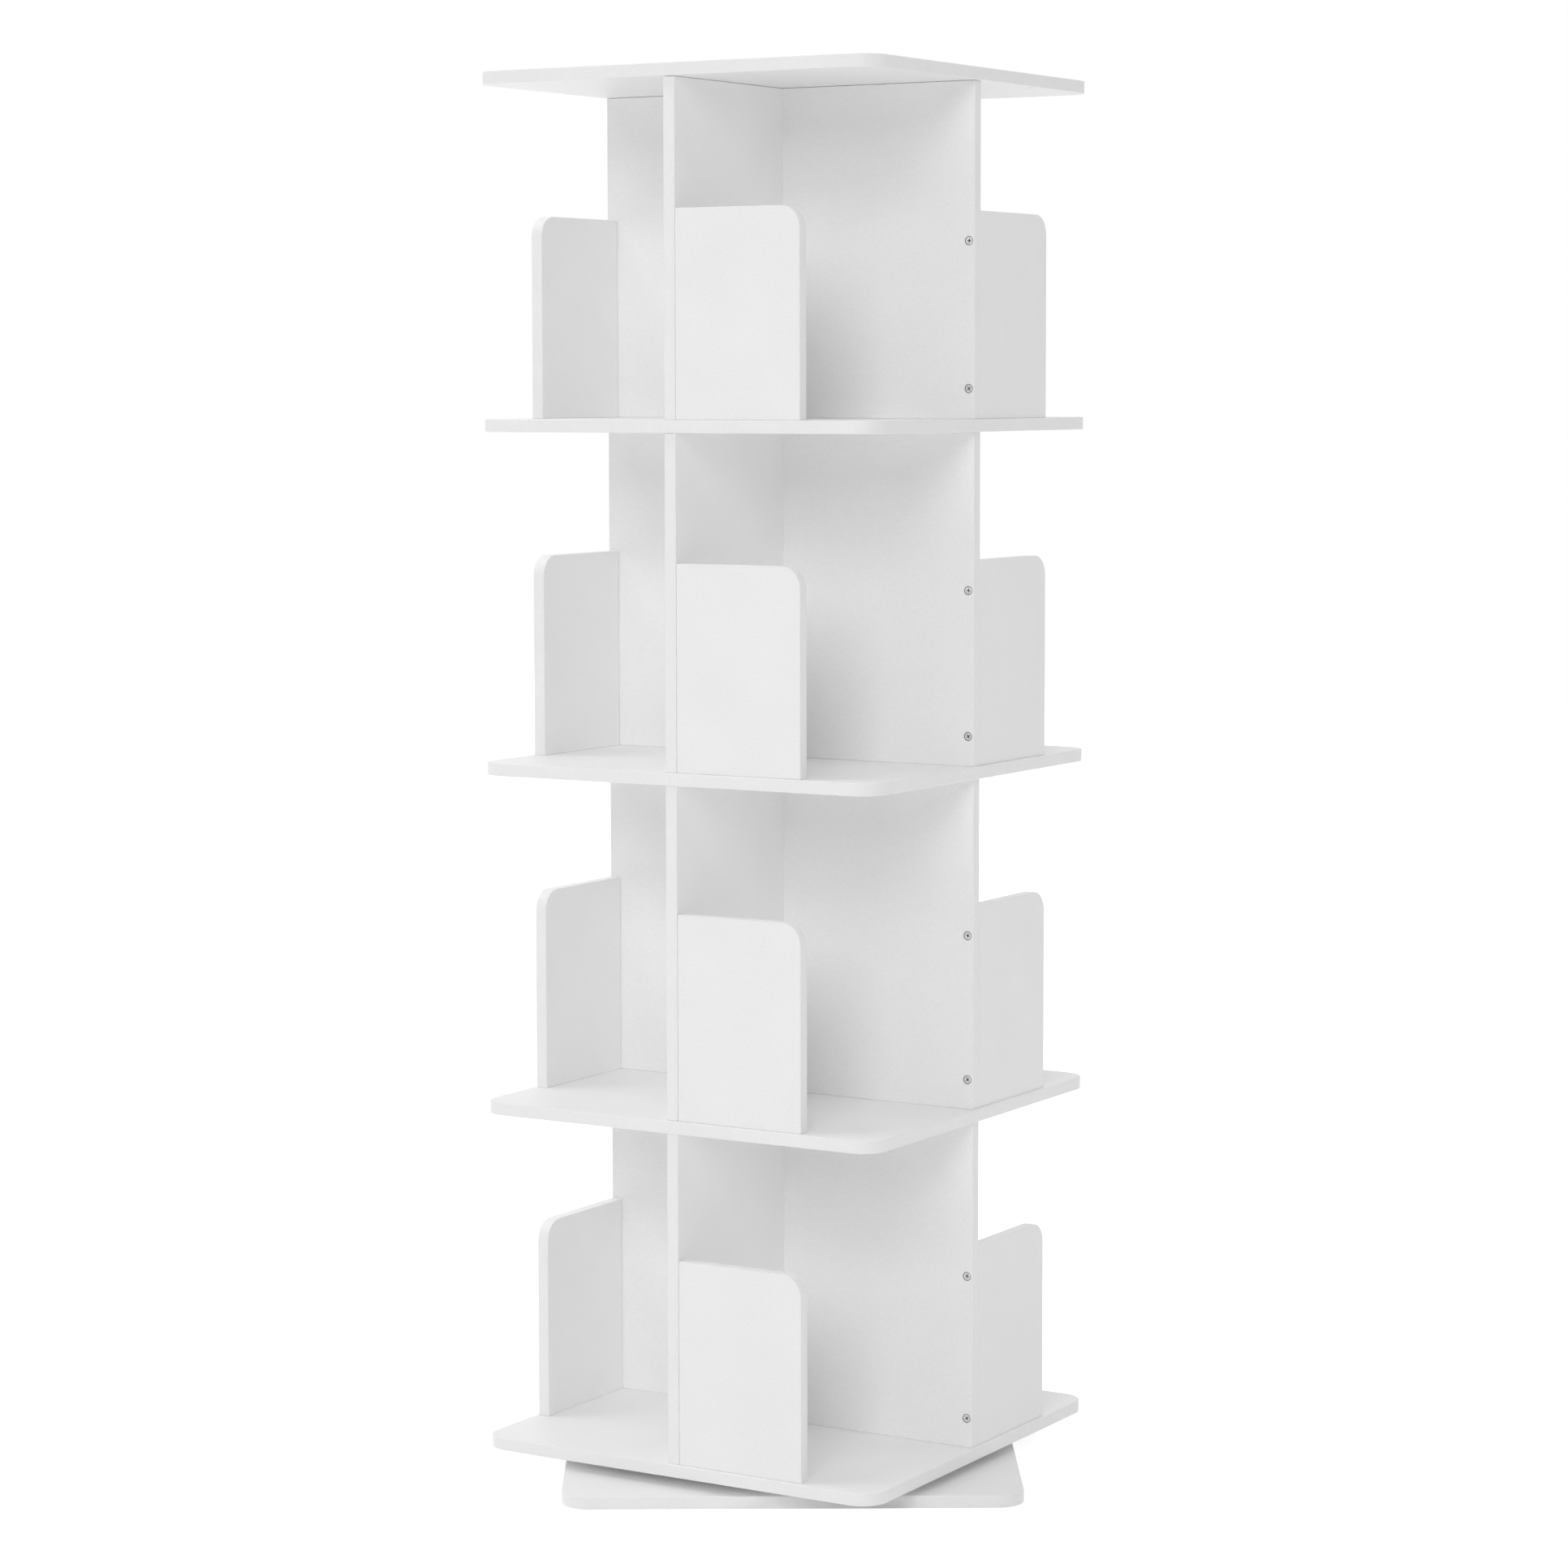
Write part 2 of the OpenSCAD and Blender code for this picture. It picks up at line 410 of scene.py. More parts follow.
# Nylon, injection moulded: matte dark grey with a spark-eroded skin.
NYLON = Finish(
    name="nylon_moulded_grey",
    colour="#57585A",
    shade="#3F4042",
    pattern=Pattern.PEEL,
    pattern_mm=0.9,
    relief_mm=0.02,
    cloud_mm=12.0,
    cloud_share=0.4,
    roughness=(0.52, 0.66),
    ior=1.53,
)
# Beech, planed and fluted: pale brown with short dark flecks along the dowel.
BEECH = Finish(
    name="beech_planed_dowel",
    colour="#D8B48A",
    shade="#B78B5E",
    pattern=Pattern.PEEL,
    pattern_mm=0.7,
    relief_mm=0.03,
    cloud_mm=14.0,
    cloud_share=0.4,
    roughness=(0.55, 0.72),
    ior=1.47,
    stretch=(1.0, 1.0, 9.0),
)


@dataclass(frozen=True)
class Plan:
    """Sizes that the pieces share, as the CAD source has them."""

    board_side: float = 430.0
    board_t: float = 12.0
    board_r: float = 25.0
    tier_clear: float = 311.0
    panel_inset: float = 3.0
    wing_offset: float = 14.5
    bookend_w: float = 132.0
    bookend_h: float = 192.0
    bookend_r: float = 20.0
    bookend_screw_margin: float = 28.0
    bookend_foot_inset: float = 25.0
    wing_screw_margin: float = 45.0
    shelf_screw_setbacks: tuple[float, float] = (58.0, 118.0)
    turntable_h: float = 9.5
    ring_outer_r: float = 150.0
    ring_w: float = 13.0
    ring_gap: float = 1.6
    ring_float: float = 1.5
    ring_screw_inset: float = 5.5
    ring_screws: int = 8
    base_turn: float = 31.5
    tiers: int = 4

    @property
    def ring_h(self) -> float:
        """Height of each ring of the turntable."""
        return self.turntable_h - self.ring_float

    @property
    def base_screw_r(self) -> float:
        """Radius of the circle of screws in the fixed ring."""
        return self.ring_outer_r - self.ring_screw_inset

    @property
    def turntable_screw_r(self) -> float:
        """Radius of the circle of screws in the turning ring."""
        inner_r = self.ring_outer_r - 2 * self.ring_w - self.ring_gap
        return inner_r + self.ring_screw_inset

    @property
    def turntable_screw_z(self) -> float:
        """Underside of the turning ring, where its screw heads lie flush."""
        return self.board_t + self.ring_float

    @property
    def reach(self) -> float:
        """Distance of a panel's outer end from the axis."""
        return self.board_side / 2 - self.panel_inset

    @property
    def end_line(self) -> float:
        """Place of the book-end screws along a half panel."""
        return self.board_t / 2 - self.reach

    @property
    def bookend_screw_heights(self) -> tuple[float, float]:
        """Heights of the book-end screws above the floor of a tier."""
        return self.bookend_screw_margin, self.bookend_h - self.bookend_screw_margin

    @property
    def wing_screw_heights(self) -> tuple[float, float, float]:
        """Heights of the wing screws above the floor of a tier."""
        margin = self.wing_screw_margin
        return margin, self.tier_clear / 2, self.tier_clear - margin

    @property
    def foot_x(self) -> float:
        """Place of a book-end's foot screw across its half panel."""
        return self.board_t / 2 + self.bookend_w - self.bookend_foot_inset

    def board_z(self, number: int) -> float:
        """Underside of a case board, counted from zero at the bottom."""
        pitch = self.tier_clear + self.board_t
        return self.board_t + self.turntable_h + number * pitch

    def floor_z(self, tier: int) -> float:
        """Floor of a tier, counted from one at the bottom."""
        return self.board_z(tier - 1) + self.board_t

    def side_frame(self, side: Side) -> Matrix:
        """Frame of one half panel.

        Args:
            side: The way the half panel faces.

        Returns:
            Matrix whose -Y runs to the outer end, with X = 0 on the middle plane.
        """
        offset = 0.0 if side in (Side.FRONT, Side.BACK) else -self.wing_offset
        turn = Matrix.Rotation(QUARTER_TURN * side, 4, "Z")
        return turn @ Matrix.Translation((offset, 0.0, 0.0))

    def base_frame(self) -> Matrix:
        """Frame of the base, which stands turned under the case."""
        return Matrix.Rotation(math.radians(self.base_turn), 4, "Z")


@dataclass
class Plate:
    """Laminated board in its own frame, with banded and rounded-over edges.

    X and Y run along the faces and Z through the thickness. Rounded gives the
    radius of a corner, which is named by whether it is the far one in X and in Y.
    """

    low: tuple[float, float]
    high: tuple[float, float]
    thickness: float
    rounded: Mapping[tuple[bool, bool], float] = field(default_factory=dict)
    edge_r: float = 0.8
    edge_steps: int = 3
    corner_steps: int = 18
    plain_far_end: bool = False
    holes_below: Sequence[tuple[float, float]] = ()
    holes_above: Sequence[tuple[float, float]] = ()
    hole_rim_r: float = 4.3
    hole_shank_r: float = 2.05
    hole_depth: float = 8.0
    hole_steps: int = 28
    hole_skin: Skin = Skin.CORE_AND_SHADE
    seam_at: float | None = None
    seam_w: float = 0.7
    seam_depth: float = 0.4

    def model(self) -> BMesh:
        """Models the board.

        Returns:
            A closed bmesh in millimetres, in the plate's own frame.
        """
        bm = bmesh.new()
        self._raise_blank(bm)
        self._ease_edges(bm)
        if self.seam_at is not None:
            self._cut_seam(bm)
        self._band_edges(bm)
        self._drill(bm, self.holes_below, upward=True)
        self._drill(bm, self.holes_above, upward=False)
        bmesh.ops.recalc_face_normals(bm, faces=bm.faces)
        return bm

    def _raise_blank(self, bm: BMesh) -> None:
        """Draws the outline, rounds its corners and gives it thickness.

        Args:
            bm: Empty mesh that takes the blank.
        """
        corners: dict[tuple[bool, bool], BMVert] = {}
        for far_x, far_y in ((False, False), (True, False), (True, True), (False, True)):
            x = self.high[0] if far_x else self.low[0]
            y = self.high[1] if far_y else self.low[1]
            corners[far_x, far_y] = bm.verts.new((x, y, 0.0))
        bm.faces.new(list(corners.values()))
        for key, radius in self.rounded.items():
            bmesh.ops.bevel(
                bm,
                geom=[corners[key]],
                offset=radius,
                offset_type="OFFSET",
                segments=self.corner_steps,
                profile=ROUND_PROFILE,
                affect="VERTICES",
                material=-1,
            )
        raised = bmesh.ops.extrude_face_region(bm, geom=list(bm.faces))
        top = [g for g in raised["geom"] if isinstance(g, BMVert)]
        bmesh.ops.translate(bm, verts=top, vec=(0.0, 0.0, self.thickness))
        bmesh.ops.recalc_face_normals(bm, faces=bm.faces)

    def _ease_edges(self, bm: BMesh) -> None:
        """Rounds over every corner edge, but not those of a plain far end.

        Args:
            bm: The blank.
        """
        plain = self.high[0] - SAME_LEVEL if self.plain_far_end else math.inf
        corners = [e for e in bm.edges if e.calc_face_angle(0.0) > SHARP_ANGLE]
        bmesh.ops.bevel(
            bm,
            geom=[e for e in corners if min(v.co.x for v in e.verts) < plain],
            offset=self.edge_r,
            offset_type="OFFSET",
            segments=self.edge_steps,
            profile=ROUND_PROFILE,
            affect="EDGES",
            material=-1,
        )

    def _cut_seam(self, bm: BMesh) -> None:
        """Opens the hairline where the two ends of the edge band meet.

        Args:
            bm: The board, with its edges rounded over.
        """
        middle, half = self.seam_at, self.seam_w / 2
        for x in (middle - half, middle, middle + half):
            bmesh.ops.bisect_plane(
                bm,
                geom=[*bm.verts, *bm.edges, *bm.faces],
                plane_co=(x, 0.0, 0.0),
                plane_no=(1.0, 0.0, 0.0),
            )
        # The rounded shoulders of the edge stay whole
        front = self.low[1] + self.edge_r / 4
        groove = [
            v
            for v in bm.verts
            if abs(v.co.x - middle) < half / 2 and v.co.y < front
        ]
        bmesh.ops.translate(bm, verts=groove, vec=(0.0, self.seam_depth, 0.0))

    def _band_edges(self, bm: BMesh) -> None:
        """Gives all but the two flat faces the edge band.

        Args:
            bm: The board.
        """
        for face in bm.faces:
            flat = abs(face.normal.z) > FLAT_NORMAL
            face.material_index = Skin.FACE if flat else Skin.BAND

    def _drill(
        self, bm: BMesh, holes: Sequence[tuple[float, float]], upward: bool
    ) -> None:
        """Drills countersunk screw holes into one flat face.

        Args:
            bm: The board.
            holes: Places of the holes on the face.
            upward: True to drill from below, False from above.
        """
        if not holes:
            return
        level = 0.0 if upward else self.thickness
        inward = 1.0 if upward else -1.0
        outline = self._open_face(bm, level, inward)
        rims = [
            draw_circle(bm, self.hole_rim_r, self.hole_steps, (x, y, level))
            for x, y in holes
        ]
        filled = bmesh.ops.triangle_fill(
            bm,
            edges=outline + [e for rim in rims for e in rim],
            use_beauty=True,
            normal=(0.0, 0.0, -inward),
        )
        for face in filled["geom"]:
            if isinstance(face, BMFace):
                face.material_index = Skin.FACE
        for rim, place in zip(rims, holes):
            self._sink(bm, rim, place, inward)

    def _open_face(self, bm: BMesh, level: float, inward: float) -> list[BMEdge]:
        """Takes one flat face away.

        Args:
            bm: The board.
            level: Level of the face.
            inward: The way from the face into the board, 1 for up and -1 for down.

        Returns:
            The edges of the face's outline.
        """
        facing = [f for f in bm.faces if f.normal.z * inward < -FLAT_NORMAL]
        flat = [f for f in facing if abs(f.calc_center_median().z - level) < SAME_LEVEL]
        edges = list(dict.fromkeys(e for f in flat for e in f.edges))
        outline = [e for e in edges if sum(f in flat for f in e.link_faces) == 1]
        inner = [e for e in edges if e not in outline]
        bmesh.ops.delete(bm, geom=flat, context="FACES_ONLY")
        bmesh.ops.delete(bm, geom=inner, context="EDGES")
        return outline

    def _sink(
        self,
        bm: BMesh,
        rim: Sequence[BMEdge],
        place: tuple[float, float],
        inward: float,
    ) -> None:
        """Draws one hole in from its rim: the countersink, and then the bore.

        Args:
            bm: The board.
            rim: Edges of the rim.
            place: Place of the hole on the face.
            inward: The way into the board, 1 for up and -1 for down.
        """
        sink = self.hole_rim_r - self.hole_shank_r
        share = self.hole_shank_r / self.hole_rim_r
        cone = draw_out(bm, rim, place, share, sink * inward)
        bore = draw_out(bm, cone, place, 1.0, (self.hole_depth - sink) * inward)
        bmesh.ops.edgeloop_fill(bm, edges=bore)
        # The hole walls take their skin; the chipboard colour there is partly painted shade
        for wall in {f for e in cone + bore for f in e.link_faces}:
            wall.material_index = self.hole_skin


def draw_circle(
    bm: BMesh, radius: float, steps: int, centre: tuple[float, float, float]
) -> list[BMEdge]:
    """Draws a level circle.

    Args:
        bm: The mesh.
        radius: Radius of the circle.
        steps: Number of its edges.
        centre: Its middle.

    Returns:
        The edges of the circle.
    """
    made = bmesh.ops.create_circle(
        bm,
        cap_ends=False,
        segments=steps,
        radius=radius,
        matrix=Matrix.Translation(centre),
    )
    return list(dict.fromkeys(e for v in made["verts"] for e in v.link_edges))


def draw_out(
    bm: BMesh,
    loop: Sequence[BMEdge],
    centre: tuple[float, float],
    share: float,
    rise: float,
) -> list[BMEdge]:
    """Draws a loop of edges out along Z, with its width changed.

    Args:
        bm: The mesh.
        loop: Edges of the closed loop.
        centre: Place of the loop's axis.
        share: New width over old width.
        rise: Distance along Z.

    Returns:
        The edges at the new end.
    """
    made = bmesh.ops.extrude_edge_only(bm, edges=list(loop))["geom"]
    verts = [g for g in made if isinstance(g, BMVert)]
    axis = Matrix.Translation((-centre[0], -centre[1], 0.0))
    bmesh.ops.scale(bm, vec=(share, share, 1.0), space=axis, verts=verts)
    bmesh.ops.translate(bm, vec=(0.0, 0.0, rise), verts=verts)
    new = set(verts)
    return [g for g in made if isinstance(g, BMEdge) and set(g.verts) <= new]


def finish_piece(
    bm: BMesh,
    name: str,
    skins: Sequence[bpy.types.Material],
    body: Body,
    slot: Slot,
    node: str,
) -> bpy.types.Object:
    """Turns a bmesh in place into a finished piece on its body.

    Args:
        bm: The piece in millimetres, in the frame of the part. It is freed.
        name: Name of the piece.
        skins: Its materials, in the order of its slots.
        body: CAD body that carries it.
        slot: Slot of the record for its finish; not used.
        node: CAD node that it stands for.

    Returns:
        The new object.
    """
    bm.transform(TO_METRES)
    for face in bm.faces:
        face.smooth = True
    for edge in bm.edges:
        edge.smooth = edge.calc_face_angle(0.0) < SHARP_ANGLE
    mesh = bpy.data.meshes.new(name)
    bm.to_mesh(mesh)
    bm.free()
    for skin in skins:
        mesh.materials.append(skin)
    piece = bpy.data.objects.new(name, mesh)
    bpy.context.scene.collection.objects.link(piece)
    weighted = piece.modifiers.new("flat_faces_first", "WEIGHTED_NORMAL")
    weighted.keep_sharp = True
    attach(piece, body.value)
    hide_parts(node)
    return piece


@dataclass
class Boards:
    """The five square boards of the case and the base board."""

    plan: Plan
    skins: Sequence[bpy.types.Material]
    edge_r: float = 1.0
    names: tuple[str, ...] = (
        "bottom_board",
        "lower_shelf",
        "middle_shelf",
        "upper_shelf",
        "top_board",
    )

    def build(self) -> Iterator[bpy.types.Object]:
        """Models every board.

        Returns:
            The pieces, from the bottom board up, and then the base board.
        """
        for number, node in enumerate(self.names):
            plate = self._blank(self._case_holes(number))
            plate.seam_at = 0.0 if number else None
            if number == self.plan.tiers:
                # The spare hole shows pale, so its countersink is sealed white
                plate.hole_skin = Skin.BAND
            place = Matrix.Translation((0.0, 0.0, self.plan.board_z(number)))
            yield self._piece(plate, place, node, Body.CASE)
        plate = self._blank(ring_places(self.plan, self.plan.base_screw_r))
        yield self._piece(plate, self.plan.base_frame(), "base_board", Body.BASE)

    def _blank(self, holes: Sequence[tuple[float, float]]) -> Plate:
        """Draws a square board with rounded corners.

        Args:
            holes: Places of the screw holes in its underside.

        Returns:
            The board.
        """
        half = self.plan.board_side / 2
        return Plate(
            low=(-half, -half),
            high=(half, half),
            thickness=self.plan.board_t,
            rounded={(x, y): self.plan.board_r for x in (False, True) for y in (False, True)},
            edge_r=self.edge_r,
            holes_below=holes,
        )

    def _case_holes(self, number: int) -> list[tuple[float, float]]:
        """Places the screw holes under a board of the case.

        Args:
            number: The board, counted from zero at the bottom.

        Returns:
            Places of the holes. The top board has one spare hole at the right.
        """
        plan = self.plan
        foot = Vector((plan.foot_x, plan.end_line, 0.0))
        if number == plan.tiers:
            spare = plan.side_frame(Side.RIGHT) @ foot
            return [(spare.x, spare.y)]
        spots = [foot]
        spots += [Vector((0.0, s - plan.reach, 0.0)) for s in plan.shelf_screw_setbacks]
        turned = [plan.side_frame(side) @ spot for side in Side for spot in spots]
        return [(p.x, p.y) for p in turned]

    def _piece(
        self, plate: Plate, place: Matrix, node: str, body: Body
    ) -> bpy.types.Object:
        """Sets one board in its place.

        Args:
            plate: The board.
            place: Its place in the frame of the part.
            node: CAD node that it stands for.
            body: CAD body that carries it.

        Returns:
            The new object.
        """
        bm = plate.model()
        bm.transform(place)
        name = f"{node}_laminated"
        return finish_piece(bm, name, self.skins, body, Slot.LAMINATE, node)


@dataclass
class Panels:
    """Spine and two staggered wings of every tier.

    The top board rests on dowels, and a hairline stays open under it.
    """

    plan: Plan
    skins: Sequence[bpy.types.Material]
    edge_r: float = 0.8
    top_gap: float = 0.3

    def build(self) -> Iterator[bpy.types.Object]:
        """Models every panel.

        Returns:
            The pieces, tier by tier from the bottom.
        """
        for tier in range(1, self.plan.tiers + 1):
            yield self._spine(tier)
            yield self._wing(tier, Side.RIGHT, f"tier{tier}_right_wing")
            yield self._wing(tier, Side.LEFT, f"tier{tier}_left_wing")

    def _spine(self, tier: int) -> bpy.types.Object:
        """Makes the panel from the front edge to the back edge.

        Args:
            tier: Its tier, counted from one at the bottom.

        Returns:
            The new object.
        """
        plan = self.plan
        ends = [(plan.end_line, h) for h in plan.bookend_screw_heights]
        ends += [(-plan.wing_offset, h) for h in plan.wing_screw_heights]
        plate = self._blank(-plan.reach, plan.reach, tier)
        plate.holes_below = ends
        plate.holes_above = [(-along, h) for along, h in ends]
        return self._piece(plate, Side.FRONT, tier, f"tier{tier}_spine")

    def _wing(self, tier: int, side: Side, node: str) -> bpy.types.Object:
        """Makes the panel from the spine's face to one side.

        Args:
            tier: Its tier, counted from one at the bottom.
            side: The way it faces.
            node: CAD node that it stands for.

        Returns:
            The new object.
        """
        plan = self.plan
        plate = self._blank(-plan.reach, -plan.board_t / 2, tier)
        plate.plain_far_end = True
        plate.holes_below = [(plan.end_line, h) for h in plan.bookend_screw_heights]
        return self._piece(plate, side, tier, node)

    def _blank(self, start: float, end: float, tier: int) -> Plate:
        """Draws a panel without its holes.

        Args:
            start: Its outer end along its half panel.
            end: Its inner end.
            tier: Its tier, counted from one at the bottom.

        Returns:
            The panel, lying flat.
        """
        plan = self.plan
        height = plan.tier_clear - (self.top_gap if tier == plan.tiers else 0.0)
        return Plate((start, 0.0), (end, height), plan.board_t, edge_r=self.edge_r)

    def _piece(
        self, plate: Plate, side: Side, tier: int, node: str
    ) -> bpy.types.Object:
        """Stands one panel up on the floor of its tier.

        Args:
            plate: The panel, lying flat.
            side: The way it faces.
            tier: Its tier, counted from one at the bottom.
            node: CAD node that it stands for.

        Returns:
            The new object.
        """
        plan = self.plan
        place = Matrix.Translation((-plan.board_t / 2, 0.0, plan.floor_z(tier)))
        bm = plate.model()
        bm.transform(plan.side_frame(side) @ place @ UPRIGHT_ALONG_Y)
        name = f"{node}_laminated"
        return finish_piece(bm, name, self.skins, Body.CASE, Slot.LAMINATE, node)


@dataclass
class BookEnds:
    """Four low book-ends of every tier, each with one rounded corner.

    A hairline stays open between a book-end and its panel.
    """

    plan: Plan
    skins: Sequence[bpy.types.Material]
    edge_r: float = 0.8
    joint_gap: float = 0.35

    def build(self) -> Iterator[bpy.types.Object]:
        """Models every book-end.

        Returns:
            The pieces, tier by tier from the bottom.
        """
        for tier in range(1, self.plan.tiers + 1):
            for side in Side:
                yield self._piece(tier, side)

    def _piece(self, tier: int, side: Side) -> bpy.types.Object:
        """Stands one book-end up against its panel.

        Args:
            tier: Its tier, counted from one at the bottom.
            side: The half panel that it belongs to.

        Returns:
            The new object.
        """
        plan = self.plan
        plate = Plate(
            low=(self.joint_gap, 0.0),
            high=(plan.bookend_w, plan.bookend_h),
            thickness=plan.board_t,
            rounded={(True, True): plan.bookend_r},
            edge_r=self.edge_r,
        )
        back = plan.board_t - plan.reach
        place = Matrix.Translation((plan.board_t / 2, back, plan.floor_z(tier)))
        bm = plate.model()
        bm.transform(plan.side_frame(side) @ place @ UPRIGHT_ALONG_X)
        node = f"tier{tier}_{side.name.lower()}_bookend"
        name = f"{node}_laminated"
        return finish_piece(bm, name, self.skins, Body.CASE, Slot.LAMINATE, node)


def ring_places(plan: Plan, radius: float) -> list[tuple[float, float]]:
    """Places of a ring's screws.

    Args:
        plan: Shared sizes.
        radius: Radius of the pitch circle.

    Returns:
        Places on the circle, spread over the quarters between the panels.
    """
    step = math.tau / plan.ring_screws
    angles = [step / 2 + step * number for number in range(plan.ring_screws)]
    return [(radius * math.cos(a), radius * math.sin(a)) for a in angles]


@dataclass
class Screw:
    """Countersunk cross-head screw along +Z, with its hole's rim at zero."""

    length: float
    point: float = 4.0
    head_r: float = 3.6
    shank_r: float = 2.0
    sunk: float = 0.5
    arm_w: float = 0.85
    arm_reach: float = 1.9
    recess_depth: float = 1.5
    recess_taper: float = 0.55
    tip_share: float = 0.15
    steps: int = 24

    def model(self) -> BMesh:
        """Models the screw.

        Returns:
            A closed bmesh in millimetres.
        """
        bm = bmesh.new()
        head = draw_circle(bm, self.head_r, self.steps, (0.0, 0.0, self.sunk))
        cross = self._cross(bm)
        bmesh.ops.triangle_fill(bm, edges=head + cross, normal=(0.0, 0.0, -1.0))
        axis = (0.0, 0.0)
        floor = draw_out(bm, cross, axis, self.recess_taper, self.recess_depth)
        bmesh.ops.edgeloop_fill(bm, edges=floor)
        # The recess takes the darker zinc: painted shade in the hollow of the cross
        for face in {f for e in floor for f in e.link_faces}:
            face.material_index = ScrewSkin.RECESS_SHADE
        cone_h = self.head_r - self.shank_r
        neck = draw_out(bm, head, axis, self.shank_r / self.head_r, cone_h)
        shank = self.length - self.point - self.sunk - cone_h
        end = draw_out(bm, neck, axis, 1.0, shank)
        if self.point:
            end = draw_out(bm, end, axis, self.tip_share, self.point)
        bmesh.ops.edgeloop_fill(bm, edges=end)
        bmesh.ops.recalc_face_normals(bm, faces=bm.faces)
        return bm

    def _cross(self, bm: BMesh) -> list[BMEdge]:
        """Draws the outline of the cross recess.

        Args:
            bm: The screw, with the circle of its head.

        Returns:
            The edges of the outline.
        """
        half, reach = self.arm_w / 2, self.arm_reach
        arm = [Vector(p) for p in ((reach, -half, 0), (reach, half, 0), (half, half, 0))]
        lift = Vector((0.0, 0.0, self.sunk))
        verts = [
            bm.verts.new(Matrix.Rotation(QUARTER_TURN * turn, 3, "Z") @ p + lift)
            for turn in range(4)
            for p in arm
        ]
        return [bm.edges.new((a, b)) for a, b in zip(verts, verts[1:] + verts[:1])]


@dataclass
class Screws:
    """All screws of the case, its turntable and its base.

    A bite is a screw's length past the board or ring that holds its head. Each
    screw of a set stops one turn step further round than the one before it.
    """

    plan: Plan
    skins: Sequence[bpy.types.Material]
    bookend_bite: float = 26.0
    panel_bite: float = 32.0
    turntable_bite: float = 8.0
    base_bite: float = 6.0
    flush_head_r: float = 4.0
    turn_step: float = 137.5

    def build(self) -> Iterator[bpy.types.Object]:
        """Models every set of screws.

        Returns:
            The pieces, tier by tier, and then those of the turntable and base.
        """
        plan = self.plan
        bookend = Screw(plan.board_t + self.bookend_bite)
        panel = Screw(plan.board_t + self.panel_bite)
        for tier in range(1, plan.tiers + 1):
            yield self._piece(bookend, self._bookend_places(tier), f"tier{tier}_bookend_screws")
            yield self._piece(panel, self._wing_places(tier), f"tier{tier}_wing_screws")
            yield self._piece(panel, self._shelf_places(tier), f"tier{tier}_shelf_screws")
        ring = [
            Matrix.Translation((x, y, plan.turntable_screw_z))
            for x, y in ring_places(plan, plan.turntable_screw_r)
        ]
        ring_len = plan.ring_h + self.turntable_bite
        flush = Screw(ring_len, head_r=self.flush_head_r, sunk=0.0)
        yield self._piece(flush, ring, "turntable_screws")
        base = [
            plan.base_frame() @ Matrix.Translation((x, y, 0.0))
            for x, y in ring_places(plan, plan.base_screw_r)
        ]
        machine = Screw(plan.board_t + self.base_bite, point=0.0)
        yield self._piece(machine, base, "base_screws", Body.BASE)

    def _bookend_places(self, tier: int) -> list[Matrix]:
        """Places the screws into the ends and the feet of a tier's book-ends.

        Args:
            tier: The tier, counted from one at the bottom.

        Returns:
            One frame for each screw.
        """
        plan = self.plan
        along_x = Matrix.Rotation(QUARTER_TURN, 4, "Y")
        places = []
        for side in Side:
            frame = plan.side_frame(side)
            for height in plan.bookend_screw_heights:
                spot = (-plan.board_t / 2, plan.end_line, plan.floor_z(tier) + height)
                places.append(frame @ Matrix.Translation(spot) @ along_x)
            foot = (plan.foot_x, plan.end_line, plan.board_z(tier - 1))
            places.append(frame @ Matrix.Translation(foot))
        return places

    def _wing_places(self, tier: int) -> list[Matrix]:
        """Places the screws through the spine into a tier's wings.

        Args:
            tier: The tier, counted from one at the bottom.

        Returns:
            One frame for each screw.
        """
        plan = self.plan
        outward = Matrix.Rotation(QUARTER_TURN, 4, "X")
        return [
            plan.side_frame(side)
            @ Matrix.Translation((0.0, plan.board_t / 2, plan.floor_z(tier) + height))
            @ outward
            for side in (Side.RIGHT, Side.LEFT)
            for height in plan.wing_screw_heights
        ]

    def _shelf_places(self, tier: int) -> list[Matrix]:
        """Places the screws up through a board into the panels on it.

        Args:
            tier: The tier of the panels, counted from one at the bottom.

        Returns:
            One frame for each screw.
        """
        plan = self.plan
        return [
            plan.side_frame(side)
            @ Matrix.Translation((0.0, setback - plan.reach, plan.board_z(tier - 1)))
            for side in Side
            for setback in plan.shelf_screw_setbacks
        ]

    def _piece(
        self,
        screw: Screw,
        places: Sequence[Matrix],
        node: str,
        body: Body = Body.CASE,
    ) -> bpy.types.Object:
        """Sets one screw in each place, driven home to its own turn.

        Args:
            screw: The screw.
            places: One frame for each screw, with +Z along its shank.
            node: CAD node that the set stands for.
            body: CAD body that carries it.

        Returns:
            The new object.
        """
        one = bpy.data.meshes.new("screw_pattern")
        pattern = screw.model()
        pattern.to_mesh(one)
        pattern.free()
        bm = bmesh.new()
        for number, place in enumerate(places):
            start = len(bm.verts)
            bm.from_mesh(one)
            bm.verts.ensure_lookup_table()
            turn = Matrix.Rotation(math.radians(self.turn_step * number), 4, "Z")
            bmesh.ops.transform(bm, matrix=place @ turn, verts=bm.verts[start:])
        bpy.data.meshes.remove(one)
        name = f"{node}_zinc"
        return finish_piece(bm, name, self.skins, body, Slot.ZINC, node)


